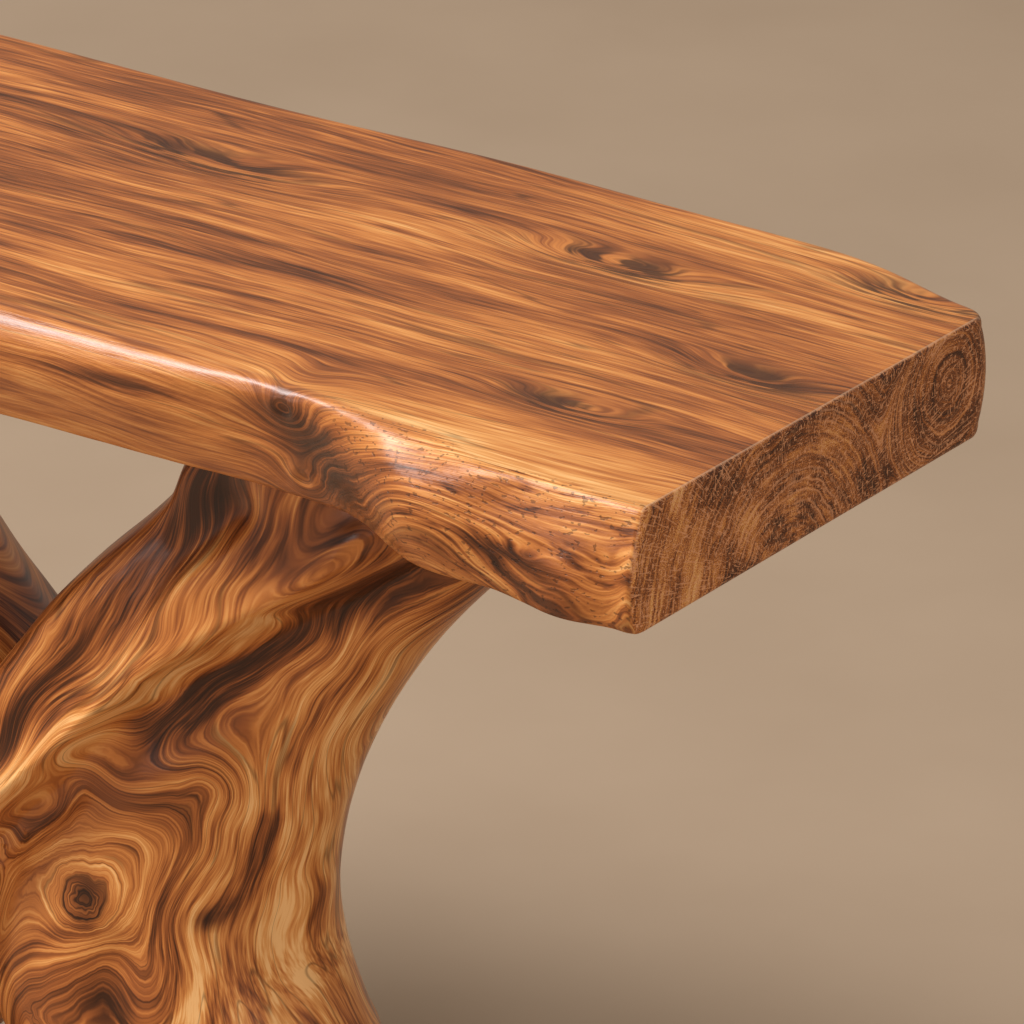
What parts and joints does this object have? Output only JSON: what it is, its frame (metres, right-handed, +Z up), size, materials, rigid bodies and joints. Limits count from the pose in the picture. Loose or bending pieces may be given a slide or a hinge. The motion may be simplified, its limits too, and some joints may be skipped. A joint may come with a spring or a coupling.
{
  "type": "console table",
  "caption": "Console table with a thick live edge wood slab carried on a carved trunk whose limbs cross and fork into arms and feet.",
  "frame": {"origin": "on the floor, under the middle of the table", "axes": "+X along the slab to the sawn end by the large swell, +Y from the live front edge to the back, +Z up"},
  "size_m": [1.2, 0.4193, 0.76],
  "materials": {
    "slab_wood": "satin oil and lacquer",
    "trunk_wood": "glossy lacquer",
    "plate_steel": "matt black powder coat",
    "screw_zinc": "yellow zinc",
    "insert_brass": "plain",
    "bolt_zinc": "bright zinc",
    "washer_zinc": "bright zinc",
    "pad_felt": "pressed felt"
  },
  "bodies": {
    "root": {"slab_top": "slab_wood", "trunk_base": "trunk_wood", "right_top_plate": "plate_steel", "right_plate_screws": "screw_zinc", "right_slab_inserts": "insert_brass", "right_slab_bolts": "bolt_zinc", "right_bolt_washers": "washer_zinc", "front_right_felt_pad": "pad_felt", "rear_right_felt_pad": "pad_felt", "left_top_plate": "plate_steel", "left_plate_screws": "screw_zinc", "left_slab_inserts": "insert_brass", "left_slab_bolts": "bolt_zinc", "left_bolt_washers": "washer_zinc", "front_left_felt_pad": "pad_felt", "rear_left_felt_pad": "pad_felt"}
  },
  "joints": []
}
